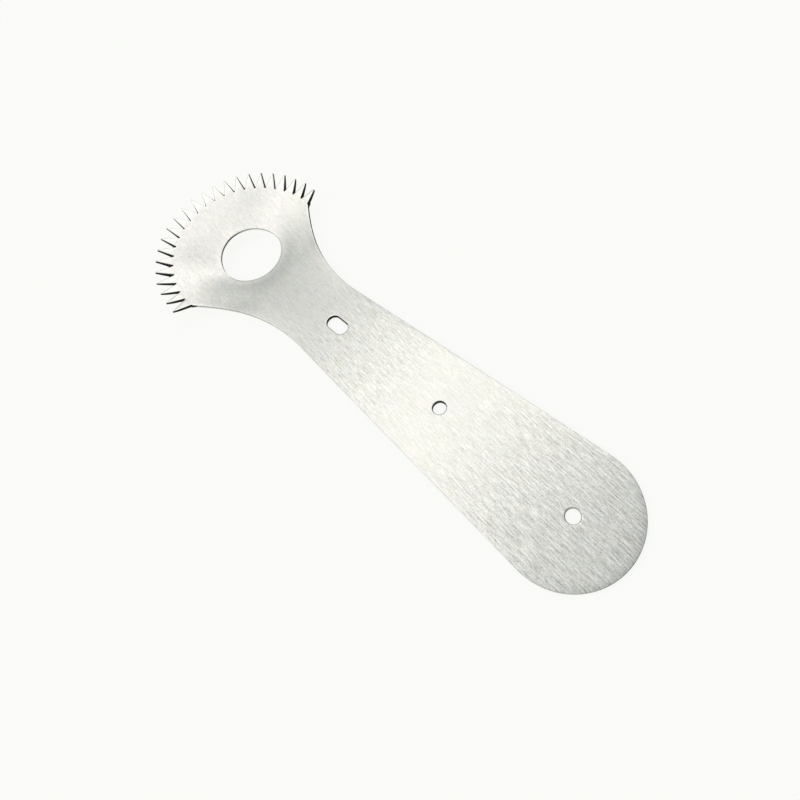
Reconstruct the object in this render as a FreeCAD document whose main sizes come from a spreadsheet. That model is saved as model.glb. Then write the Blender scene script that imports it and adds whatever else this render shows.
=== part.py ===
import FreeCAD, Part
import math
import os
import Sketcher

# A one-piece scraper blade, stamped from flat stainless sheet.
#   - a round, dished head with a row of pointed teeth and one large hole
#   - a waisted neck
#   - a flat body that widens towards a round tail, with a short slot and
#     two round fixing holes on the long axis
# Millimetres, +Z up.  The dimensions below are laid out from the centre of
# the large hole, with the tail towards -X.  The finished piece is shifted
# along X so that its origin is the middle of the underside of its box.

V = FreeCAD.Vector
doc = FreeCAD.newDocument("scraper_blade_model")

# ---------------------------------------------------------------- dimensions
dims = doc.addObject("Spreadsheet::Sheet", "dims")
table = [
    ("thickness",        1.1,    "sheet thickness"),
    ("tail_back",        169.5,  "tail arc centre behind the head centre"),
    ("tail_radius",      22.0,   "radius of the round tail"),
    ("waist_back",       49.0,   "narrowest section behind the head centre"),
    ("waist_half",       15.3,   "half width at the waist"),
    ("neck_radius",      71.5,   "concave radius each side of the neck"),
    ("tip_radius",       39.8,   "tooth tips, from the head centre"),
    ("root_radius",      32.5,   "tooth roots, from the head centre"),
    ("tooth_pitch",      8.15,   "degrees from one tooth to the next"),
    ("tooth_count",      23,     "teeth round the head"),
    ("land_angle",       0.22,   "degrees, half of the land at a tooth tip"),
    ("big_hole_radius",  13.25,  "large hole in the head"),
    ("fixing_radius",    2.5,    "round fixing holes"),
    ("tail_hole_back",   171.0,  "tail fixing hole behind the head centre"),
    ("mid_hole_back",    115.2,  "middle fixing hole behind the head centre"),
    ("slot_back",        59.0,   "slot centre behind the head centre"),
    ("slot_radius",      2.75,   "round ends of the slot"),
    ("slot_half_run",    2.35,   "half of the slot's straight run"),
    ("bend_back",        19.0,   "the head starts to rise, behind the centre"),
    ("bend_run",         40.0,   "length of the gentle bend"),
    ("bend_slope",       0.32,   "rise per length ahead of the bend"),
    ("cup_back",         53.0,   "the cross section starts to curve"),
    ("cup_full_back",    21.0,   "the cross section is fully curved"),
    ("cup_height",       2.8,    "rise at the reference half width, full"),
    ("cup_fade",         0.7,    "loss of that rise by the tooth tips"),
    ("cup_fade_run",     60.0,   "length over which it is lost"),
    ("cup_ref_half",     30.0,   "reference half width of the cup"),
    ("station_step",     8.0,    "spacing of the surface's cross sections"),
    ("blank_half",       42.0,   "half width of the surface before trimming"),
    ("blank_back",       221.0,  "tail end of the surface before trimming"),
    ("block_height",     60.0,   "height of the trimming block"),
    ("box_shift",        75.85,  "head centre to the middle of the box"),
]
for n, (alias, value, note) in enumerate(table, start=1):
    dims.set("A%d" % n, note)
    dims.set("B%d" % n, str(value))
    dims.setAlias("B%d" % n, alias)
doc.recompute()


def size(alias):
    return float(dims.get(alias))


# ------------------------------------------------- planform: outline and holes
# A tall block with the blade's shape in plan.  It trims the dished surface.
planform = doc.addObject("PartDesign::Body", "planform")


def origin_plane(body, role):
    return [f for f in body.Origin.OriginFeatures if f.Role == role][0]


def new_sketch(body, name):
    sketch = body.newObject("Sketcher::SketchObject", name)
    sketch.AttachmentSupport = [(origin_plane(body, "XY_Plane"), "")]
    sketch.MapMode = "FlatFace"
    return sketch


def arc(cx, cy, r, a0, a1):
    """Arc of a circle, counter-clockwise from a0 to a1 in degrees."""
    circle = Part.Circle(V(cx, cy, 0), V(0, 0, 1), r)
    return Part.ArcOfCircle(circle, math.radians(a0), math.radians(a1))


def line(a, b):
    return Part.LineSegment(V(a[0], a[1], 0), V(b[0], b[1], 0))


def drive(sketch, constraint, expression):
    """Add a dimension and bind it to the sheet."""
    index = sketch.addConstraint(constraint)
    sketch.setExpression("Constraints[%d]" % index, expression)
    return index


pitch = size("tooth_pitch")
tip_r = size("tip_radius")
root_r = size("root_radius")
neck_r = size("neck_radius")
tail_r = size("tail_radius")
tail_x = -size("tail_back")
waist_x = -size("waist_back")
neck_y = size("waist_half") + neck_r

# The side line touches the tail arc and the neck arc, which lie on opposite
# sides of it.
span = neck_y
run = waist_x - tail_x
reach = math.hypot(run, span)
taper = math.degrees(math.asin((tail_r + neck_r) / reach) - math.atan2(span, run))
half_teeth = (size("tooth_count") - 1) / 2.0
end_tip = half_teeth * pitch + size("land_angle")
end_root = (half_teeth + 0.5) * pitch


def polar(r, a):
    return (r * math.cos(math.radians(a)), r * math.sin(math.radians(a)))


tail_touch = (tail_x + polar(tail_r, 90.0 - taper)[0], polar(tail_r, 90.0 - taper)[1])
neck_touch = (waist_x + polar(neck_r, 270.0 - taper)[0],
              neck_y + polar(neck_r, 270.0 - taper)[1])
root_pt = polar(root_r, end_root)
tip_pt = polar(tip_r, end_tip)
beta = math.degrees(math.acos((neck_y - root_pt[1]) / neck_r))
neck_end = (waist_x + neck_r * math.sin(math.radians(beta)), root_pt[1])


def flip(p):
    return (p[0], -p[1])


outline = new_sketch(planform, "outline")
outline.addGeometry([
    arc(tail_x, 0.0, tail_r, 90.0 - taper, 270.0 + taper),        # 0 tail
    line(tail_touch, neck_touch),                                  # 1 side, +Y
    arc(waist_x, neck_y, neck_r, 270.0 - taper, 270.0 + beta),     # 2 neck, +Y
    line(neck_end, root_pt),                                       # 3 shoulder, +Y
    line(root_pt, tip_pt),                                         # 4 end flank, +Y
    arc(0.0, 0.0, tip_r, -end_tip, end_tip),                       # 5 tip circle
    line(flip(tip_pt), flip(root_pt)),                             # 6 end flank, -Y
    line(flip(root_pt), flip(neck_end)),                           # 7 shoulder, -Y
    arc(waist_x, -neck_y, neck_r, 90.0 - beta, 90.0 + taper),      # 8 neck, -Y
    line(flip(neck_touch), flip(tail_touch)),                      # 9 side, -Y
], False)
C = Sketcher.Constraint
START, END, CENTRE = 1, 2, 3
outline.addConstraint([
    C("Tangent", 0, START, 1, START),
    C("Tangent", 1, END, 2, START),
    C("Coincident", 2, END, 3, START),
    C("Coincident", 3, END, 4, START),
    C("Coincident", 4, END, 5, END),
    C("Coincident", 5, START, 6, START),
    C("Coincident", 6, END, 7, START),
    C("Coincident", 7, END, 8, START),
    C("Tangent", 8, END, 9, START),
    C("Tangent", 9, END, 0, END),
    C("PointOnObject", 0, CENTRE, -1),
    C("Coincident", 5, CENTRE, -1, START),
    C("Horizontal", 3),
    C("Horizontal", 7),
])
drive(outline, C("DistanceX", 0, CENTRE, -1, START, -tail_x), "dims.tail_back")
drive(outline, C("Radius", 0, tail_r), "dims.tail_radius")
drive(outline, C("Radius", 5, tip_r), "dims.tip_radius")
for neck in (2, 8):
    drive(outline, C("DistanceX", neck, CENTRE, -1, START, -waist_x), "dims.waist_back")
    drive(outline, C("Radius", neck, neck_r), "dims.neck_radius")
drive(outline, C("DistanceY", -1, START, 2, CENTRE, neck_y),
      "dims.waist_half + dims.neck_radius")
drive(outline, C("DistanceY", 8, CENTRE, -1, START, neck_y),
      "dims.waist_half + dims.neck_radius")
END_ROOT = "dims.tooth_count / 2 * dims.tooth_pitch"
END_TIP = "(dims.tooth_count - 1) / 2 * dims.tooth_pitch + dims.land_angle"
for flank, point in ((4, START), (6, END)):
    drive(outline, C("DistanceX", flank, point, -1, START, -root_pt[0]),
          "-dims.root_radius * cos(%s)" % END_ROOT)
drive(outline, C("DistanceY", -1, START, 4, START, root_pt[1]),
      "dims.root_radius * sin(%s)" % END_ROOT)
drive(outline, C("DistanceY", 6, END, -1, START, root_pt[1]),
      "dims.root_radius * sin(%s)" % END_ROOT)
for point in (START, END):
    drive(outline, C("DistanceX", -1, START, 5, point, tip_pt[0]),
          "dims.tip_radius * cos(%s)" % END_TIP)
doc.recompute()

block = planform.newObject("PartDesign::Pad", "block")
block.Profile = outline
block.Midplane = True
block.setExpression("Length", "dims.block_height")
doc.recompute()
volume_block = block.Shape.Volume

# One V notch, centred on the sketch's X axis.  Its sides meet the edges of
# the lands of the two teeth beside it.
half_gap = pitch / 2.0 - size("land_angle")
past = 3.0
wide = ((tip_r + past - root_r) * polar(tip_r, half_gap)[1]
        / (polar(tip_r, half_gap)[0] - root_r))
notch_sketch = new_sketch(planform, "notch_profile")
notch_sketch.AttachmentOffset = FreeCAD.Placement(
    V(0, 0, 0), FreeCAD.Rotation(V(0, 0, 1), -(half_teeth - 0.5) * pitch))
notch_sketch.setExpression(
    "AttachmentOffset.Rotation.Angle",
    "-(dims.tooth_count / 2 - 1) * dims.tooth_pitch")
notch_sketch.addGeometry([
    line((root_r, 0.0), (tip_r + past, wide)),
    line((tip_r + past, wide), (tip_r + past, -wide)),
    line((tip_r + past, -wide), (root_r, 0.0)),
], False)
notch_sketch.addConstraint([
    C("Coincident", 0, END, 1, START),
    C("Coincident", 1, END, 2, START),
    C("Coincident", 2, END, 0, START),
    C("PointOnObject", 0, START, -1),
    C("Symmetric", 1, START, 1, END, -1),
])
drive(notch_sketch, C("DistanceX", -1, START, 0, START, root_r), "dims.root_radius")
drive(notch_sketch, C("DistanceX", -1, START, 0, END, tip_r + past),
      "dims.tip_radius + %g" % past)
GAP = "(dims.tooth_pitch / 2 - dims.land_angle)"
drive(notch_sketch, C("DistanceY", -1, START, 0, END, wide),
      "(dims.tip_radius + %g - dims.root_radius) * dims.tip_radius * sin(%s)"
      " / (dims.tip_radius * cos(%s) - dims.root_radius)" % (past, GAP, GAP))
doc.recompute()

notch = planform.newObject("PartDesign::Pocket", "notch")
notch.Profile = notch_sketch
notch.Type = "ThroughAll"
notch.Midplane = True
doc.recompute()
volume_notch = notch.Shape.Volume

notches = planform.newObject("PartDesign::PolarPattern", "notches")
notches.Originals = [notch]
notches.Axis = (origin_plane(planform, "Z_Axis"), [""])
notches.setExpression("Occurrences", "dims.tooth_count - 1")
notches.setExpression("Angle", "(dims.tooth_count - 2) * dims.tooth_pitch")
planform.Tip = notches
doc.recompute()
volume_notches = notches.Shape.Volume

# The large hole, the slot and the two fixing holes, all on the long axis.
openings_sketch = new_sketch(planform, "openings_profile")
openings_sketch.addGeometry([
    Part.Circle(V(0, 0, 0), V(0, 0, 1), size("big_hole_radius")),
    Part.Circle(V(-size("mid_hole_back"), 0, 0), V(0, 0, 1), size("fixing_radius")),
    Part.Circle(V(-size("tail_hole_back"), 0, 0), V(0, 0, 1), size("fixing_radius")),
], False)
openings_sketch.addConstraint([
    C("Coincident", 0, CENTRE, -1, START),
    C("PointOnObject", 1, CENTRE, -1),
    C("PointOnObject", 2, CENTRE, -1),
])
drive(openings_sketch, C("Radius", 0, size("big_hole_radius")), "dims.big_hole_radius")
drive(openings_sketch, C("Radius", 1, size("fixing_radius")), "dims.fixing_radius")
drive(openings_sketch, C("Radius", 2, size("fixing_radius")), "dims.fixing_radius")
drive(openings_sketch, C("DistanceX", 1, CENTRE, -1, START, size("mid_hole_back")),
      "dims.mid_hole_back")
drive(openings_sketch, C("DistanceX", 2, CENTRE, -1, START, size("tail_hole_back")),
      "dims.tail_hole_back")
slot_x, slot_r, slot_run = -size("slot_back"), size("slot_radius"), size("slot_half_run")
openings_sketch.addGeometry([
    line((slot_x - slot_run, slot_r), (slot_x + slot_run, slot_r)),      # 3
    arc(slot_x + slot_run, 0.0, slot_r, -90.0, 90.0),                    # 4
    line((slot_x + slot_run, -slot_r), (slot_x - slot_run, -slot_r)),    # 5
    arc(slot_x - slot_run, 0.0, slot_r, 90.0, 270.0),                    # 6
], False)
openings_sketch.addConstraint([
    C("Tangent", 3, END, 4, END),
    C("Tangent", 4, START, 5, START),
    C("Tangent", 5, END, 6, END),
    C("Tangent", 6, START, 3, START),
    C("PointOnObject", 4, CENTRE, -1),
    C("PointOnObject", 6, CENTRE, -1),
    C("Equal", 4, 6),
])
drive(openings_sketch, C("Radius", 4, slot_r), "dims.slot_radius")
drive(openings_sketch, C("DistanceX", 4, CENTRE, -1, START, -slot_x - slot_run),
      "dims.slot_back - dims.slot_half_run")
drive(openings_sketch, C("DistanceX", 6, CENTRE, -1, START, -slot_x + slot_run),
      "dims.slot_back + dims.slot_half_run")
doc.recompute()

openings = planform.newObject("PartDesign::Pocket", "openings")
openings.Profile = openings_sketch
openings.Type = "ThroughAll"
openings.Midplane = True
planform.Tip = openings
doc.recompute()
volume_openings = openings.Shape.Volume


# ------------------------------------------------------ the sheet's underside
# Flat behind the neck.  From the neck the cross section curves up at both
# edges, and the centre line bends up through a long easy radius, so that
# the head is a shallow scoop with its teeth raised.
def centre_height(x):
    u = min(max(x + size("bend_back"), 0.0), size("bend_run"))
    rest = max(x + size("bend_back") - size("bend_run"), 0.0)
    return size("bend_slope") * (u * u / (2.0 * size("bend_run")) + rest)


def cup(x):
    """Rise of the edge at the reference half width."""
    length = size("cup_back") - size("cup_full_back")
    u = min(max((x + size("cup_back")) / length, 0.0), 1.0)
    ease = u * u * (3.0 - 2.0 * u)
    fade = min(max((x + size("cup_full_back")) / size("cup_fade_run"), 0.0), 1.0)
    return (size("cup_height") - size("cup_fade") * fade) * ease


half = size("blank_half")
step = size("station_step")
stations = [-size("cup_back") - step, -size("cup_back")]
while stations[-1] < tip_r + 2.0:
    stations.append(stations[-1] + step)
sections = []
for x in stations:
    z = centre_height(x)
    rise = cup(x) * (half / size("cup_ref_half")) ** 2
    if rise < 1e-6:
        edge = Part.LineSegment(V(x, -half, z), V(x, half, z)).toShape()
    else:
        edge = Part.Arc(V(x, -half, z + rise), V(x, 0, z), V(x, half, z + rise)).toShape()
    sections.append(Part.Wire([edge]))
scoop = Part.makeLoft(sections, False, False).Faces[0]
back = size("blank_back")
flat = Part.makePlane(back + stations[0], 2.0 * half, V(-back, -half, 0))
shell = Part.makeShell([flat, scoop])
shell.sewShape()
underside = doc.addObject("Part::Feature", "underside")
underside.Shape = shell
underside.Placement = FreeCAD.Placement()
doc.recompute()

# Trim the underside to the blade's outline and holes.
trimmed = doc.addObject("Part::Common", "trimmed")
trimmed.Base = underside
trimmed.Tool = planform
trimmed.Refine = False
doc.recompute()

# Thicken it upwards.  The cut edges come out square to the sheet.
blade = doc.addObject("Part::Offset", "blade")
blade.Source = trimmed
blade.Mode = "Skin"
blade.Join = "Arc"
blade.Fill = True
blade.setExpression("Value", "dims.thickness")
doc.recompute()

# The piece itself: its name, and its place in the part's own frame.
blade.Label = "scraper_blade"
blade.setExpression("Placement.Base.x", "dims.box_shift")
doc.recompute()

# ---------------------------------------------------------------------- checks
for obj in doc.Objects:
    if "Invalid" in obj.State or "Error" in obj.State:
        raise RuntimeError("%s failed: %s" % (obj.Name, obj.State))
for sketch in (outline, notch_sketch, openings_sketch):
    if sketch.solve() != 0 or not sketch.FullyConstrained:
        raise RuntimeError("%s is not fully constrained" % sketch.Name)
if not volume_block > volume_notch > volume_notches > volume_openings:
    raise RuntimeError("a pocket cut nothing")

sub_parts = [(blade, "scraper_blade")]
os.makedirs("parts", exist_ok=True)
for obj, node in sub_parts:
    shape = obj.Shape
    if shape.isNull() or not shape.isValid() or len(shape.Solids) != 1 or shape.Volume <= 0:
        raise RuntimeError("%s has no valid solid" % node)
    points, facets = shape.tessellate(0.02)
    low = [min(p[i] for p in points) for i in range(3)]
    high = [max(p[i] for p in points) for i in range(3)]
    print("%s: one solid, %d faces, %.1f mm3, %.1f g in 7.93 g/cm3 steel"
          % (node, len(shape.Faces), shape.Volume, shape.Volume * 7.93e-3))
    print("  box %.2f x %.2f x %.2f mm, from (%.3f, %.3f, %.3f) to (%.3f, %.3f, %.3f)"
          % tuple([high[i] - low[i] for i in range(3)] + low + high))
    shape.exportStep("parts/%s.step" % node)
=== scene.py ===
import math

import bpy
import numpy as np
from mathutils import Matrix, Vector
from mathutils.geometry import delaunay_2d_cdt


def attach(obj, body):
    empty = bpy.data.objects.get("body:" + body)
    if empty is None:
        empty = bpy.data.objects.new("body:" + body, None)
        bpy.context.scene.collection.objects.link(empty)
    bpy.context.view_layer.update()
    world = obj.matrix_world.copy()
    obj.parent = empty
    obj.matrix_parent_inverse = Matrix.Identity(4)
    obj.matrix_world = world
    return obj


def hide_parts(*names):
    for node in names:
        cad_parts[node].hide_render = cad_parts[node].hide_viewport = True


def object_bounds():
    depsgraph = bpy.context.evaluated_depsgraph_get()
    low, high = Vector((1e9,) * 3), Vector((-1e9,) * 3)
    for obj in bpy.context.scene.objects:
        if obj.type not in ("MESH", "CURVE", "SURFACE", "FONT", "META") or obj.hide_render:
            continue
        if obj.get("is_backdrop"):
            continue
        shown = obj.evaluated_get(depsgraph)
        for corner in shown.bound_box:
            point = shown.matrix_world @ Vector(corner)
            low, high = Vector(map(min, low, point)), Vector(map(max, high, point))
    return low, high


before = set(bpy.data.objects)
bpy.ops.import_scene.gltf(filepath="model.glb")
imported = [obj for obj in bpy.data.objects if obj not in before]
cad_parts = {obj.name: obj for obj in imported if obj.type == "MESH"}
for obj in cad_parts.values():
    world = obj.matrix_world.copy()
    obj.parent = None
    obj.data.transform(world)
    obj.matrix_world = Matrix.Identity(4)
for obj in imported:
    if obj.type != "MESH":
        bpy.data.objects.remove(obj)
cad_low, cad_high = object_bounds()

# The blade is one stamped sheet.  Plan dimensions are in millimetres from the
# centre of the large hole, tail towards -X; SHIFT takes them to the frame.
SHIFT = 75.85
THICK = 1.1
TAIL_X, TAIL_R = -169.5, 22.0
WAIST_X, WAIST_HALF, NECK_R = -49.0, 15.3, 71.5
TIP_R, ROOT_R, PITCH, TEETH, LAND = 39.8, 32.5, 8.15, 23, 0.22
BIG_R, FIX_R = 13.25, 2.5
# how much shorter than the rest a tooth is ground, mm, counted from the -Y end
SHORT = {1: 0.75, 2: 0.15, 3: 0.4, 10: 0.5, 11: 0.5, 17: 0.25, 18: 0.25, 19: 0.3, 21: 0.2, 22: 0.35, 23: 0.2}
TAIL_HOLE_X, MID_HOLE_X = -171.0, -115.2
SLOT_X, SLOT_R, SLOT_RUN = -59.0, 2.75, 2.35


# ------------------------------------------------------------ sheet surface
def clip01(v):
    return np.clip(v, 0.0, 1.0)


def under(x, y):
    """Height of the sheet's underside, mm."""
    u = np.clip(x + 19.0, 0.0, 40.0)
    centre = 0.32 * (u * u / 80.0 + np.maximum(x - 21.0, 0.0))
    s = clip01((x + 53.0) / 32.0)
    s = s * s * (3.0 - 2.0 * s)
    rise = (2.8 - 0.7 * clip01((x + 21.0) / 60.0)) * s
    return centre + rise * (y / 30.0) ** 2 + pressed(x, y)


def pressed(x, y):
    """Relief left by the press: the near rim of the large hole sunk a little, and a
    shallow hollow at each side of it where the sheet folds."""
    r = np.maximum(np.hypot(x, y), 1.0)
    rim = np.maximum(r - BIG_R, 0.0)
    sunk = 0.55 * np.exp(-(rim / 4.7) ** 2) * (0.5 - 0.5 * x / r) ** 0.35
    sunk = sunk + 0.90 * np.exp(-0.5 * ((x - 7.4) / 7.8) ** 2 - 0.5 * ((y - 17.3) / 5.0) ** 2)
    sunk = sunk + 0.48 * np.exp(-0.5 * ((x - 9.4) / 8.3) ** 2 - 0.5 * ((y + 17.4) / 5.0) ** 2)
    return -sunk


def normal(x, y):
    h = 0.02
    gx = (under(x + h, y) - under(x - h, y)) / (2 * h)
    gy = (under(x, y + h) - under(x, y - h)) / (2 * h)
    n = np.stack([-gx, -gy, np.ones_like(gx)], -1)
    return n / np.linalg.norm(n, axis=-1, keepdims=True)


def lift(x, y, height):
    """A point at this height above the underside, square to the sheet."""
    p = np.stack([x, y, under(x, y)], -1)
    return p + normal(x, y) * np.asarray(height)[..., None]


# ------------------------------------------------------------------ outline
def polar(r, a):
    return (r * math.cos(a), r * math.sin(a))


def arc_points(cx, cy, r, a0, a1, step):
    n = max(2, int(round(abs(a1 - a0) * r / step)))
    return [(cx + r * math.cos(a0 + (a1 - a0) * i / n), cy + r * math.sin(a0 + (a1 - a0) * i / n)) for i in range(n + 1)]


def line_points(a, b, step):
    n = max(1, int(round(math.hypot(b[0] - a[0], b[1] - a[1]) / step)))
    return [(a[0] + (b[0] - a[0]) * i / n, a[1] + (b[1] - a[1]) * i / n) for i in range(n + 1)]


def corner(a, p, b, r, n):
    """Round the corner at p between a and b with a small radius."""
    a, p, b = (np.array(v, float) for v in (a, p, b))
    da, db = (a - p) / np.linalg.norm(a - p), (b - p) / np.linalg.norm(b - p)
    half = math.acos(max(-1.0, min(1.0, float(da @ db)))) / 2
    cut = r / math.tan(half)
    mid = (da + db) / np.linalg.norm(da + db)
    c = p + mid * (r / math.sin(half))
    p0, p1 = p + da * cut, p + db * cut
    a0 = math.atan2(*(p0 - c)[::-1])
    a1 = math.atan2(*(p1 - c)[::-1])
    turn = (a1 - a0 + math.pi) % (2 * math.pi) - math.pi
    return [tuple(c + r * np.array([math.cos(a0 + turn * i / n), math.sin(a0 + turn * i / n)])) for i in range(n + 1)]


def outline():
    """The outer edge, counter-clockwise."""
    run, span = WAIST_X - TAIL_X, WAIST_HALF + NECK_R
    taper = math.asin((TAIL_R + NECK_R) / math.hypot(run, span)) - math.atan2(span, run)
    q = math.pi / 2
    p = math.radians(PITCH)
    land = math.radians(LAND)
    tail_touch = (TAIL_X + TAIL_R * math.sin(taper), TAIL_R * math.cos(taper))
    neck_touch = (WAIST_X - NECK_R * math.sin(taper), span - NECK_R * math.cos(taper))
    end_root = polar(ROOT_R, (TEETH / 2) * p)
    beta = math.acos((span - end_root[1]) / NECK_R)
    neck_end = (WAIST_X + NECK_R * math.sin(beta), end_root[1])

    pts = []

    def add(more):
        for m in more:
            if not pts or math.hypot(m[0] - pts[-1][0], m[1] - pts[-1][1]) > 1e-4:
                pts.append(m)

    def flip(v):
        return (v[0], -v[1])

    add(arc_points(TAIL_X, 0.0, TAIL_R, q - taper, 3 * q + taper, 0.55))
    add(line_points(flip(tail_touch), flip(neck_touch), 0.9))
    add(arc_points(WAIST_X, -span, NECK_R, q + taper, q - beta, 0.8))
    # row of teeth, from -Y round to +Y
    corners = [flip(neck_end), flip(end_root)]
    kinds = ["shoulder", "root"]
    for k in range(TEETH):
        a = (k - (TEETH - 1) / 2) * p
        short = SHORT.get(k + 1, 0.0)
        half = land + math.radians(0.42) * short
        corners += [polar(TIP_R - short, a - half), polar(TIP_R - short, a + half), polar(ROOT_R, a + p / 2)]
        kinds += ["land", "land", "root"]
    corners.append(neck_end)
    kinds.append("shoulder")
    rounded = []
    for i, (c, kind) in enumerate(zip(corners, kinds)):
        if kind != "root":
            rounded.append([c])
            continue
        r, n = 0.16, 5
        rounded.append(corner(corners[i - 1], c, corners[i + 1], r, n))
    for i, group in enumerate(rounded):
        if i:
            add(line_points(pts[-1], group[0], 0.5))
        add(group)
    add(arc_points(WAIST_X, span, NECK_R, -q + beta, -q - taper, 0.8))
    add(line_points(neck_touch, tail_touch, 0.9))
    if math.hypot(pts[0][0] - pts[-1][0], pts[0][1] - pts[-1][1]) < 1e-3:
        pts.pop()
    return np.array(pts)


def circle_hole(x, r, n, y=0.0):
    a = -np.arange(n) * 2 * math.pi / n
    return np.stack([x + r * np.cos(a), y + r * np.sin(a)], -1)


def slot_hole():
    pts = arc_points(SLOT_X + SLOT_RUN, 0, SLOT_R, math.pi / 2, -math.pi / 2, 0.2)
    pts += line_points((SLOT_X + SLOT_RUN, -SLOT_R), (SLOT_X - SLOT_RUN, -SLOT_R), 0.5)[1:]
    pts += arc_points(SLOT_X - SLOT_RUN, 0, SLOT_R, -math.pi / 2, -3 * math.pi / 2, 0.2)[1:]
    pts += line_points((SLOT_X - SLOT_RUN, SLOT_R), (SLOT_X + SLOT_RUN, SLOT_R), 0.5)[1:-1]
    return np.array(pts)


loops = [outline(), circle_hole(TAIL_HOLE_X, FIX_R - 0.13, 64, -0.14), circle_hole(MID_HOLE_X + 0.08, FIX_R - 0.10, 64, -0.05), slot_hole(), circle_hole(0.5, BIG_R - 0.1, 170)]


def edge_radius(loop, which):
    """Radius of the top edge: sharp at the tooth tips, softer in the notches."""
    if which:
        return np.full(len(loop), [0, 0.30, 0.32, 0.27, 0.10][which])
    x, y = loop[:, 0], loop[:, 1]
    turn = np.degrees(np.abs(np.arctan2(y, x)))
    teeth = np.interp(np.hypot(x, y), [32.5, 39.0, 39.8], [0.30, 0.26, 0.19]) * np.interp(turn, [0, 20, 35], [0.55, 0.75, 1.0])
    side = np.interp(x, [-190, -120, -20, -4, 1], [0.14, 0.12, 0.12, 0.13, 0.24]) * (1.0 - 0.45 * clip01((y + 2.0) / 8.0) * (x < -6.0))
    return np.where((x > 1.0) | ((x > -4.0) & (np.hypot(x, y) > 32.6)), teeth, side)


def bevel(x, y):
    """The teeth are ground thinner from below at the tips, most at the two ends of the row."""
    turn = np.degrees(np.abs(np.arctan2(y, x)))
    return (0.06 + 0.30 * clip01((turn - 50.0) / 20.0)) * clip01((np.hypot(x, y) - 37.0) / 2.8) ** 1.3 * (x > -6.0)


# slant of the notch walls at the root and at the tip, mm, notch by notch from -Y;
# the punches of the row are not equally worn
WALL = np.array([1.3, 1.6, 1.6, 1.3, 0.4, 0.7, 0.8, 1.0, 1.0, 1.0, 1.0, 1.0, 1.0, 1.0, 0.9, 1.05, 1.35, 1.3, 1.75, 1.8, 1.05, 0.95, 1.05, 0.55])
WALL_TIP = np.array([0, 0, 0, 0.25, 0, 0.22, 0.22, 0.05, 0, 0, 0, 0, 0, 0, 0, 0.05, 0.12, 0.25, 0.20, 0.20, 0.12, 0, 0, 0])


def lower(p, li):
    """Plan position of the lower edge: the notches run deeper on the top face,
    and the holes of the body are punched a little askew."""
    if li:
        return p + np.array([(0, 0), (0.09, 0), (-0.05, 0.17), (-0.05, 0.17), (0.12, 0)][li])
    r = np.hypot(p[:, 0], p[:, 1])
    notch = np.clip(np.floor(np.degrees(np.arctan2(p[:, 1], p[:, 0])) / PITCH + 12.0), 0, 23).astype(int)
    near = clip01((p[:, 0] + 3.4) / 1.0) * clip01((r - ROOT_R + 0.7) / 0.5)
    s = (WALL[notch] * clip01((TIP_R - r) / (TIP_R - ROOT_R)) + WALL_TIP[notch]) * near
    return p * (1.0 + s / r)[:, None]


def inset(loop, d):
    """Move every point of a loop into the sheet by d (the sheet is on the left)."""
    before = loop - np.roll(loop, 1, 0)
    after = np.roll(loop, -1, 0) - loop
    nb = np.stack([-before[:, 1], before[:, 0]], -1) / np.linalg.norm(before, axis=1, keepdims=True)
    na = np.stack([-after[:, 1], after[:, 0]], -1) / np.linalg.norm(after, axis=1, keepdims=True)
    m = (nb + na) / (1.0 + (nb * na).sum(1, keepdims=True))
    length = np.linalg.norm(m, axis=1, keepdims=True)
    return loop + np.broadcast_to(d, len(loop))[:, None] * m * np.minimum(1.0, 2.6 / length)


seg_a = np.concatenate(loops)
seg_b = np.concatenate([np.roll(l, -1, 0) for l in loops])
seg_loop = np.concatenate([np.full(len(l), i) for i, l in enumerate(loops)])


def edge_distance(p):
    """Distance in plan to the nearest edge, and which loop it belongs to."""
    best = np.full(len(p), 1e9)
    which = np.zeros(len(p), int)
    d = seg_b - seg_a
    dd = (d * d).sum(1)
    for i in range(0, len(p), 400):
        q = p[i:i + 400, None, :] - seg_a[None]
        t = clip01((q * d).sum(-1) / dd)
        r = np.linalg.norm(q - t[..., None] * d, axis=-1)
        k = r.argmin(1)
        best[i:i + 400] = r[np.arange(len(k)), k]
        which[i:i + 400] = seg_loop[k]
    return best, which


def inside(p, a=seg_a, b=seg_b):
    """True where a point is on the sheet: inside the outline, outside the holes."""
    odd = np.zeros(len(p), int)
    for i in range(0, len(p), 400):
        x, y = p[i:i + 400, 0:1], p[i:i + 400, 1:2]
        cross = ((a[:, 1] > y) != (b[:, 1] > y)) & (x < (b[:, 0] - a[:, 0]) * (y - a[:, 1]) / (b[:, 1] - a[:, 1] + 1e-30) + a[:, 0])
        odd[i:i + 400] = cross.sum(1)
    return odd % 2 == 1


def roll_off(p, dist, which):
    """How far the worn edge lies below the sheet's face."""
    x = p[:, 0]
    depth = np.interp(x, [-195, -140, -60, -20, 40], [0.20, 0.13, 0.09, 0.05, 0.03])
    width = np.interp(x, [-195, -140, -60, -20, 40], [3.3, 2.6, 2.2, 1.6, 0.9])
    depth = np.where(which == 4, 0.09 * (x < 0) + 0.02, np.where(which > 0, 0.035, depth))
    width = np.where(which == 4, 1.4, np.where(which > 0, 0.8, width))
    return depth * np.clip(1.0 - dist / width, 0.0, 1.0) ** 3


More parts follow.
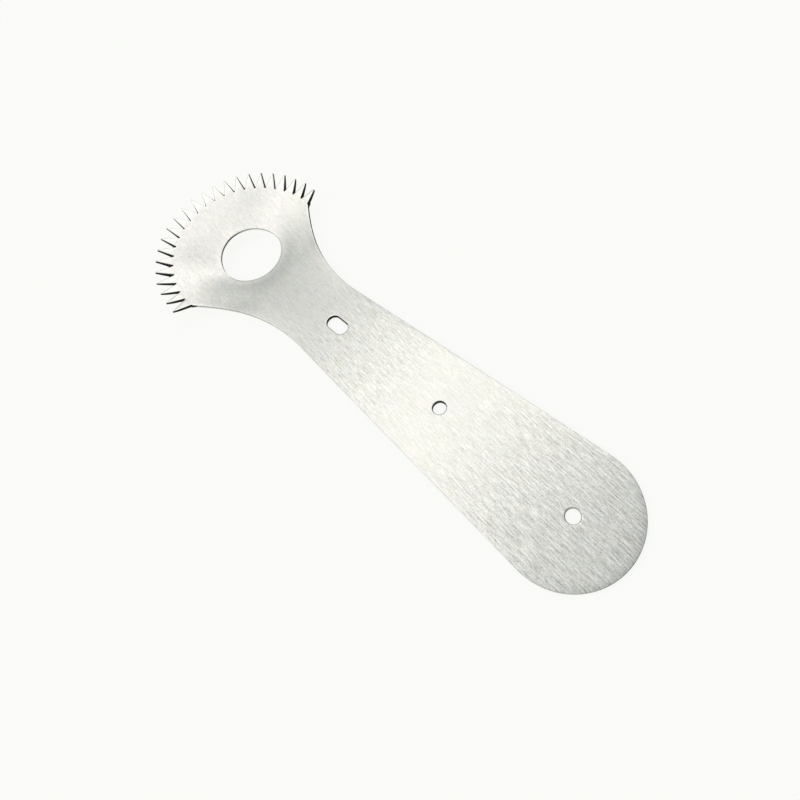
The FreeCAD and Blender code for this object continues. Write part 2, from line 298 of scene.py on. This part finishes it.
# interior points: rows that follow the edges, then an even grid
radii = [edge_radius(l, i) for i, l in enumerate(loops)]
inner = [inset(l, e) for l, e in zip(loops, radii)]
rows = []
outer = loops[0]
plain = (outer[:, 0] < -6.0)
for d in (0.32, 0.6, 1.0, 1.5, 2.1, 2.8, 3.6):
    keep = inset(outer, d)[plain]
    rows.append(keep[:: (1 if d < 2 else 2)])
    for l in loops[1:4]:
        if 0.5 < d < 1.2:
            rows.append(inset(l, d)[::2])
    if d < 3:
        rows.append(inset(loops[4], d)[::2])
rows = np.concatenate(rows)
step = 1.25
gx, gy = np.meshgrid(np.arange(-190, 40, step), np.arange(-39.5, 39.6, step * 0.866))
gx = gx + (np.arange(gx.shape[0])[:, None] % 2) * step / 2
coarse = np.stack([gx.ravel(), gy.ravel()], -1)
coarse = coarse[np.hypot(coarse[:, 0], coarse[:, 1]) * (coarse[:, 0] > -8) < 30.5]
step = 0.62
gx, gy = np.meshgrid(np.arange(-12, 40, step), np.arange(-39.5, 39.6, step * 0.866))
gx = gx + (np.arange(gx.shape[0])[:, None] % 2) * step / 2
fine = np.stack([gx.ravel(), gy.ravel()], -1)
fine = fine[(np.hypot(fine[:, 0], fine[:, 1]) >= 30.5) & (fine[:, 0] > -8)]


def keep_inside(p, gap):
    p = p[inside(p)]
    d, w = edge_distance(p)
    return p[d > gap]


rows = keep_inside(rows, 0.28)
coarse = keep_inside(coarse, 0.9)
fine = keep_inside(fine, 0.42)
# thin out grid points that fall on the edge rows
def thin(p, q, gap):
    ok = np.ones(len(p), bool)
    for i in range(0, len(p), 500):
        ok[i:i + 500] = (((p[i:i + 500, None] - q[None]) ** 2).sum(-1).min(1) > gap * gap)
    return p[ok]


coarse = thin(coarse, rows, 0.55)
cells = {}
for p in rows:
    cells.setdefault((round(p[0] / 0.2), round(p[1] / 0.2)), p)
rows = np.array(list(cells.values()))
middle = np.concatenate([rows, coarse, fine])

border = np.concatenate(inner)
edges, start = [], 0
for l in inner:
    n = len(l)
    edges += [(start + i, start + (i + 1) % n) for i in range(n)]
    start += n
pts2d = [Vector(p) for p in np.concatenate([border, middle])]
v_out, _, f_out, v_orig, _, _ = delaunay_2d_cdt(pts2d, edges, [], 0, 1e-7, True)
assert len(v_out) == len(pts2d), (len(v_out), len(pts2d))
order = [o[0] for o in v_orig]
tris = np.array([[order[i] for i in f] for f in f_out])
both = np.array([p[:] for p in pts2d])
tris = tris[inside(both[tris].mean(1), border, np.concatenate([np.roll(l, -1, 0) for l in inner]))]
area = np.cross(both[tris[:, 1]] - both[tris[:, 0]], both[tris[:, 2]] - both[tris[:, 0]])
tris[area < 0] = tris[area < 0][:, ::-1]

# ------------------------------------------------------------- solid mesh
verts, faces, mats = [], [], []


def push(p):
    i = sum(len(v) for v in verts)
    verts.append(p)
    return i


mid_dist, mid_loop = edge_distance(middle)
drop = roll_off(middle, mid_dist, mid_loop)
top_mid = push(lift(middle[:, 0], middle[:, 1], THICK - drop))
bot_mid = push(lift(middle[:, 0], middle[:, 1], drop * 0.3 + bevel(middle[:, 0], middle[:, 1])))
verts[-1][:, 2] = np.maximum(verts[-1][:, 2], 0.0)
top_ring, bot_ring = [], []
ARC = [0.0, 22.5, 45.0, 67.5, 90.0]
for li, (loop, radius) in enumerate(zip(loops, radii)):
    which = np.full(len(loop), li)
    rings = []
    for a in ARC:  # wall to top face
        d = radius * (1 - math.cos(math.radians(a)))
        h = radius * (1 - math.sin(math.radians(a)))
        p = inset(loop, d)
        rings.append(push(lift(p[:, 0], p[:, 1], THICK - roll_off(p, d, which) - h)))
    low = []
    small = 0.07
    for a in (0.0, 45.0, 90.0):
        d = small * (1 - math.cos(math.radians(a)))
        h = small * (1 - math.sin(math.radians(a)))
        p = lower(inset(loop, d), li)
        low.append(push(lift(p[:, 0], p[:, 1], roll_off(p, d, which) * 0.3 + bevel(p[:, 0], p[:, 1]) + h)))
        verts[-1][:, 2] = np.maximum(verts[-1][:, 2], h)
    n = len(loop)
    i = np.arange(n)
    j = (i + 1) % n
    chain = [low[2], low[1], low[0], rings[0], rings[1], rings[2], rings[3], rings[4]]
    for s, (a, b) in enumerate(zip(chain[:-1], chain[1:])):
        for k in range(n):
            faces.append((a + i[k], a + j[k], b + j[k], b + i[k]))
            # material 1: edge painted near-black (painted shade); material 2: edge painted lighter where it faces +Y
            # (painted light)
            if s not in (1, 2, 3, 4, 5):
                mats.append(0)
            elif li in (1, 4) or (li == 0 and loop[k, 0] < -3.6):
                mats.append(2)
            else:
                mats.append(1)
    top_ring.append(rings[-1])
    bot_ring.append(low[2])

top_index, bot_index = [], []
for li, l in enumerate(inner):
    top_index += list(range(top_ring[li], top_ring[li] + len(l)))
    bot_index += list(range(bot_ring[li], bot_ring[li] + len(l)))
top_index += list(range(top_mid, top_mid + len(middle)))
bot_index += list(range(bot_mid, bot_mid + len(middle)))
top_index, bot_index = np.array(top_index), np.array(bot_index)
for t in tris:
    faces.append(tuple(top_index[t]))
    mats.append(0)
for t in tris:
    faces.append(tuple(bot_index[t[::-1]]))
    mats.append(0)

co = np.concatenate(verts)
co[:, 0] += SHIFT
co[:, 2] = np.minimum(co[:, 2], cad_high[2] * 1000.0 - 0.0005)
mesh = bpy.data.meshes.new("blade_sheet")
mesh.from_pydata((co * 0.001).tolist(), [], [tuple(int(i) for i in f) for f in faces])
mesh.polygons.foreach_set("material_index", mats)
mesh.polygons.foreach_set("use_smooth", [True] * len(mesh.polygons))
GRAIN = math.radians(-5.0)
uv = mesh.uv_layers.new(name="grain")
loop_v = np.empty(len(mesh.loops), int)
mesh.loops.foreach_get("vertex_index", loop_v)
xy = co[loop_v][:, :2]
u = (xy[:, 0] * math.cos(GRAIN) + xy[:, 1] * math.sin(GRAIN)) / 250.0 + 0.5
v = (-xy[:, 0] * math.sin(GRAIN) + xy[:, 1] * math.cos(GRAIN)) / 250.0 + 0.5
uv.data.foreach_set("uv", np.stack([u, v], -1).ravel())
mesh.validate()
mesh.update()
blade = bpy.data.objects.new("blade_sheet", mesh)
bpy.context.scene.collection.objects.link(blade)


# ---------------------------------------------------------------- materials
def new_material(name):
    m = bpy.data.materials.new(name)
    m.use_nodes = True
    nt = m.node_tree
    return m, nt, nt.nodes["Principled BSDF"]


def streaks(nt, along, across, detail=2.0, roughness=0.55, seed=0.0, turned=0.0, flat=False):
    """Noise drawn out along the grain; along and across are cycles per millimetre."""
    tc = nt.nodes.new("ShaderNodeTexCoord")
    turn = nt.nodes.new("ShaderNodeMapping")
    turn.inputs["Rotation"].default_value = (0, 0, -GRAIN - math.radians(turned))
    stretch = nt.nodes.new("ShaderNodeMapping")
    stretch.inputs["Scale"].default_value = (along * 1000, across * 1000, across * 1000)
    stretch.inputs["Location"].default_value = (seed, seed * 1.7, seed * 0.3)
    noise = nt.nodes.new("ShaderNodeTexNoise")
    if flat:
        noise.noise_dimensions = "2D"
    noise.inputs["Scale"].default_value = 1.0
    noise.inputs["Detail"].default_value = detail
    noise.inputs["Roughness"].default_value = roughness
    nt.links.new(tc.outputs["Object"], turn.inputs["Vector"])
    nt.links.new(turn.outputs["Vector"], stretch.inputs["Vector"])
    nt.links.new(stretch.outputs["Vector"], noise.inputs["Vector"])
    return noise.outputs["Fac"]


def math_node(nt, op, a, b=None, c=None, clamp=False):
    n = nt.nodes.new("ShaderNodeMath")
    n.operation = op
    n.use_clamp = clamp
    for s, v in zip(n.inputs, (a, b, c)):
        if v is None:
            continue
        if hasattr(v, "links"):
            nt.links.new(v, s)
        else:
            s.default_value = v
    return n.outputs[0]


def centred(nt, value, gain):
    """(value - 0.5) * gain"""
    return math_node(nt, "MULTIPLY_ADD", value, gain, -0.5 * gain)


def ramp(nt, value, low, high):
    """0 below low, 1 above high, smooth between."""
    n = nt.nodes.new("ShaderNodeMapRange")
    n.interpolation_type = "SMOOTHSTEP"
    nt.links.new(value, n.inputs["Value"])
    n.inputs["From Min"].default_value = low
    n.inputs["From Max"].default_value = high
    return n.outputs[0]


def curve_points(mapping, points):
    """Set a Float Curve to these points."""
    c = mapping.curves[0]
    while len(c.points) > 2:
        c.points.remove(c.points[1])
    c.points[0].location, c.points[1].location = points[0], points[-1]
    for at in points[1:-1]:
        c.points.new(*at)
    mapping.update()


# strength of the mill grain along the blade, mm from the middle of its length
GRAIN_FADE = [(-120, 0.92), (-85, 0.92), (-65, 0.62), (-50, 0.40), (-36, 0.28), (-27, 0.34), (-10, 0.66), (5, 0.66), (28, 0.40), (45, 0.24), (60, 0.17), (120, 0.13)]

TEETH_GAIN, HEAD_GAIN = 0.10, 0.04

steel, nt, bsdf = new_material("brushed_steel")
bsdf.inputs["Metallic"].default_value = 1.0
bsdf.inputs["Anisotropic"].default_value = 0.9
bsdf.inputs["Anisotropic Rotation"].default_value = 0.25
where = nt.nodes.new("ShaderNodeSeparateXYZ")
nt.links.new(nt.nodes.new("ShaderNodeTexCoord").outputs["Object"], where.inputs[0])
# the pressed head has lost some of the mill grain
headward = ramp(nt, where.outputs["X"], 0.025, 0.065)
# and the teeth are made lighter in colour, with weaker grain
out_x = math_node(nt, "ADD", where.outputs["X"], -SHIFT / 1000)
reach = math_node(nt, "SQRT", math_node(nt, "ADD", math_node(nt, "MULTIPLY", out_x, out_x), math_node(nt, "MULTIPLY", where.outputs["Y"], where.outputs["Y"])))
teeth = math_node(nt, "MULTIPLY", ramp(nt, reach, 0.0322, 0.0345), ramp(nt, out_x, -0.005, -0.001))
hair = streaks(nt, 0.83, 1.95, 0.0, 0.5, 3.1, flat=True)
hair2 = streaks(nt, 0.38, 2.2, 0.0, 0.5, 17.3, flat=True)
line = streaks(nt, 0.167, 2.1, 0.0, 0.5, 29.9, flat=True)
speck = streaks(nt, 2.4, 2.1, 0.0, 0.5, 91.3, flat=True)
wide = streaks(nt, 0.17, 0.85, 1.0, 0.5, 53.9)
blot = streaks(nt, 0.60, 0.90, 2.0, 0.55, 41.7)
cloud = streaks(nt, 0.05, 0.09, 3.0, 0.5, 5.7)
scuff = streaks(nt, 0.22, 1.9, 1.0, 0.5, 61.3, 52.0)
scuff2 = streaks(nt, 0.26, 2.1, 1.0, 0.5, 77.7, -38.0)
fade = nt.nodes.new("ShaderNodeFloatCurve")
curve_points(fade.mapping, [((x / 1000 + 0.12) / 0.24, v) for x, v in GRAIN_FADE])
nt.links.new(math_node(nt, "MULTIPLY_ADD", where.outputs["X"], 1 / 0.24, 0.5, clamp=True), fade.inputs["Value"])
grain = math_node(nt, "ADD", centred(nt, hair, 0.27), centred(nt, hair2, 0.33))
grain = math_node(nt, "ADD", math_node(nt, "ADD", grain, centred(nt, speck, 0.38)), centred(nt, line, 0.52))
grain = math_node(nt, "MULTIPLY", grain, fade.outputs["Value"])
soft = math_node(nt, "ADD", centred(nt, blot, 0.10), centred(nt, cloud, 0.07))
cross = math_node(nt, "ADD", centred(nt, scuff, 0.20), centred(nt, scuff2, 0.17))
# scuffed most on the +Y side
cross = math_node(nt, "MULTIPLY", cross, math_node(nt, "MULTIPLY_ADD", ramp(nt, where.outputs["Y"], 0.002, 0.014), 0.75, 0.25))
cross = math_node(nt, "ADD", cross, centred(nt, wide, 0.24))
cross = math_node(nt, "ADD", cross, centred(nt, streaks(nt, 1.2, 1.45, 0.0, 0.5, 37.1, flat=True), 0.13))
cross = math_node(nt, "MULTIPLY", cross, math_node(nt, "MULTIPLY_ADD", headward, 0.85, 0.15))
shade = math_node(nt, "ADD", math_node(nt, "ADD", grain, soft), cross)
shade = math_node(nt, "MULTIPLY", shade, math_node(nt, "MULTIPLY_ADD", teeth, -0.7, 1.0))
level = math_node(nt, "ADD", shade, math_node(nt, "MULTIPLY_ADD", teeth, TEETH_GAIN, 1.0))
level = math_node(nt, "ADD", level, math_node(nt, "MULTIPLY", ramp(nt, out_x, 0.004, 0.014), HEAD_GAIN))
warm = centred(nt, streaks(nt, 0.16, 0.22, 1.0, 0.5, 23.7, flat=True), 0.032)
cool = centred(nt, streaks(nt, 0.14, 0.20, 1.0, 0.5, 67.1, flat=True), 0.052)
formed = ramp(nt, out_x, -0.016, 0.004)
colour = nt.nodes.new("ShaderNodeCombineXYZ")
nt.links.new(math_node(nt, "ADD", math_node(nt, "MULTIPLY_ADD", formed, 0.004, 0.80), warm), colour.inputs["X"])
nt.links.new(math_node(nt, "MULTIPLY_ADD", formed, -0.004, 0.805), colour.inputs["Y"])
nt.links.new(math_node(nt, "ADD", math_node(nt, "MULTIPLY_ADD", formed, 0.006, 0.768), cool), colour.inputs["Z"])
tint = nt.nodes.new("ShaderNodeVectorMath")
tint.operation = "SCALE"
nt.links.new(colour.outputs[0], tint.inputs[0])
nt.links.new(level, tint.inputs["Scale"])
nt.links.new(tint.outputs["Vector"], bsdf.inputs["Base Color"])
nt.links.new(math_node(nt, "MULTIPLY_ADD", shade, -0.08, 0.25), bsdf.inputs["Roughness"])
tangent = nt.nodes.new("ShaderNodeTangent")
tangent.direction_type = "UV_MAP"
tangent.uv_map = "grain"
nt.links.new(tangent.outputs["Tangent"], bsdf.inputs["Tangent"])
bump = nt.nodes.new("ShaderNodeBump")
bump.inputs["Strength"].default_value = 0.25
bump.inputs["Distance"].default_value = 0.00001
nt.links.new(math_node(nt, "ADD", shade, 0.5), bump.inputs["Height"])
nt.links.new(bump.outputs["Normal"], bsdf.inputs["Normal"])

# sheared edge: painted near-black, a painted shade standing in for the dark surroundings a steel edge reflects; dull,
# with a coarse broken face
cut, nt, bsdf = new_material("cut_edge_painted_shade")
bsdf.inputs["Roughness"].default_value = 0.7
bsdf.inputs["Specular IOR Level"].default_value = 0.12
mark = streaks(nt, 2.5, 2.5, 3.0, 0.6, 9.0)
tint = nt.nodes.new("ShaderNodeVectorMath")
tint.operation = "SCALE"
tint.inputs[0].default_value = (0.026, 0.026, 0.024)
nt.links.new(math_node(nt, "MULTIPLY_ADD", mark, 1.6, 0.2), tint.inputs["Scale"])
nt.links.new(tint.outputs["Vector"], bsdf.inputs["Base Color"])

# trimmed edge of the body, the tail hole and the large hole: painted near-black (painted shade), and painted lighter
# where the wall faces +Y (painted light)
trim, nt, bsdf = new_material("trimmed_edge_painted_light")
bsdf.inputs["Roughness"].default_value = 0.6
bsdf.inputs["Specular IOR Level"].default_value = 0.15
facing = nt.nodes.new("ShaderNodeSeparateXYZ")
nt.links.new(nt.nodes.new("ShaderNodeTexCoord").outputs["Normal"], facing.inputs[0])
# painted light and shade: colour runs from near-black up to light grey as the wall turns to face +Y
pale = math_node(nt, "MULTIPLY_ADD", ramp(nt, facing.outputs["Y"], -0.1, 0.75), 0.55, 0.03)
mark = streaks(nt, 2.5, 2.5, 3.0, 0.6, 13.0)
tint = nt.nodes.new("ShaderNodeVectorMath")
tint.operation = "SCALE"
tint.inputs[0].default_value = (1.0, 1.0, 0.94)
nt.links.new(math_node(nt, "MULTIPLY", pale, math_node(nt, "MULTIPLY_ADD", mark, 1.2, 0.4)), tint.inputs["Scale"])
nt.links.new(tint.outputs["Vector"], bsdf.inputs["Base Color"])
for m in (steel, cut, trim):
    mesh.materials.append(m)

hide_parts("scraper_blade")
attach(blade, "root")

# -------------------------------------------------------------------- stage
floor_mesh = bpy.data.meshes.new("floor")
s = 6.0
floor_mesh.from_pydata([(-s, -s, -0.00004), (s, -s, -0.00004), (s, s, -0.00004), (-s, s, -0.00004)], [], [(0, 1, 2, 3)])
floor = bpy.data.objects.new("floor", floor_mesh)
bpy.context.scene.collection.objects.link(floor)
paint, nt, bsdf = new_material("pale_floor")
bsdf.inputs["Base Color"].default_value = (0.20, 0.201, 0.197, 1)
bsdf.inputs["Roughness"].default_value = 1.0
bsdf.inputs["Specular IOR Level"].default_value = 0.0
bsdf.inputs["Emission Color"].default_value = (0.991, 1.0, 0.974, 1)
bsdf.inputs["Emission Strength"].default_value = 0.83
floor_mesh.materials.append(paint)
floor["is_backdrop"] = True

# Soft studio light: a broad, soft-edged strip overhead, leaning to the head's
# side, in a pale room.
world = bpy.data.worlds.new("studio")
bpy.context.scene.world = world
world.use_nodes = True
nt = world.node_tree
nt.nodes.clear()
tc = nt.nodes.new("ShaderNodeTexCoord")
sep = nt.nodes.new("ShaderNodeSeparateXYZ")
nt.links.new(tc.outputs["Generated"], sep.inputs[0])
angle = math_node(nt, "ARCTAN2", sep.outputs["X"], sep.outputs["Z"])
place = math_node(nt, "MULTIPLY_ADD", angle, 1 / math.pi, 0.5, clamp=True)
curve = nt.nodes.new("ShaderNodeFloatCurve")
nt.links.new(place, curve.inputs["Value"])


def strip(a):
    """Strength of the light at this angle from overhead, degrees towards the head."""
    side = 15.9 if a < 29.1 else 12.2
    return 0.46 + 0.45 * math.exp(-((a - 29.1) / side) ** 2) + 0.32 * math.exp(-((a - 26.4) / 35.9) ** 2)


TOP = 2.0
curve_points(curve.mapping, [((a + 90) / 180, strip(a) / TOP) for a in range(-90, 91, 4)])
glow = math_node(nt, "MULTIPLY", curve.outputs["Value"], TOP)
light = nt.nodes.new("ShaderNodeBackground")
hue = nt.nodes.new("ShaderNodeCombineXYZ")
nt.links.new(math_node(nt, "MULTIPLY_ADD", glow, 0.06, 0.945), hue.inputs["X"])
hue.inputs["Y"].default_value = 1.0
nt.links.new(math_node(nt, "MULTIPLY_ADD", glow, -0.02, 1.0), hue.inputs["Z"])
nt.links.new(hue.outputs[0], light.inputs["Color"])
nt.links.new(glow, light.inputs["Strength"])
pale = nt.nodes.new("ShaderNodeBackground")
pale.inputs["Color"].default_value = (0.956, 0.965, 0.939, 1)
path = nt.nodes.new("ShaderNodeLightPath")
choose = nt.nodes.new("ShaderNodeMixShader")
nt.links.new(path.outputs["Is Camera Ray"], choose.inputs[0])
nt.links.new(light.outputs[0], choose.inputs[1])
nt.links.new(pale.outputs[0], choose.inputs[2])
out = nt.nodes.new("ShaderNodeOutputWorld")
nt.links.new(choose.outputs[0], out.inputs["Surface"])

bpy.context.scene.view_settings.view_transform = "Standard"
bpy.context.scene.view_settings.look = "None"

# ------------------------------------------------------------------- camera
FOCAL, PPX, PPY = 569.8, 459.40, 356.67
CAM_AT = (-0.12462, 0.02819, 0.17161)
CAM_RIGHT = (-0.712169, -0.671210, -0.205650)
CAM_DOWN = (-0.524405, 0.703411, -0.479804)
data = bpy.data.cameras.new("camera")
cam = bpy.data.objects.new("camera", data)
bpy.context.scene.collection.objects.link(cam)
data.sensor_fit = "HORIZONTAL"
data.sensor_width = 36.0
data.lens = FOCAL * 36.0 / 800.0
data.shift_x = (400.0 - PPX) / 800.0
data.shift_y = (PPY - 400.0) / 800.0
data.clip_start, data.clip_end = 0.01, 50.0
r = Vector(CAM_RIGHT).normalized()
d = Vector(CAM_DOWN)
d = (d - r * d.dot(r)).normalized()
fwd = r.cross(d)
cam.matrix_world = Matrix(((r.x, -d.x, -fwd.x, CAM_AT[0]), (r.y, -d.y, -fwd.y, CAM_AT[1]), (r.z, -d.z, -fwd.z, CAM_AT[2]), (0, 0, 0, 1)))
bpy.context.scene.camera = cam

low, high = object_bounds()
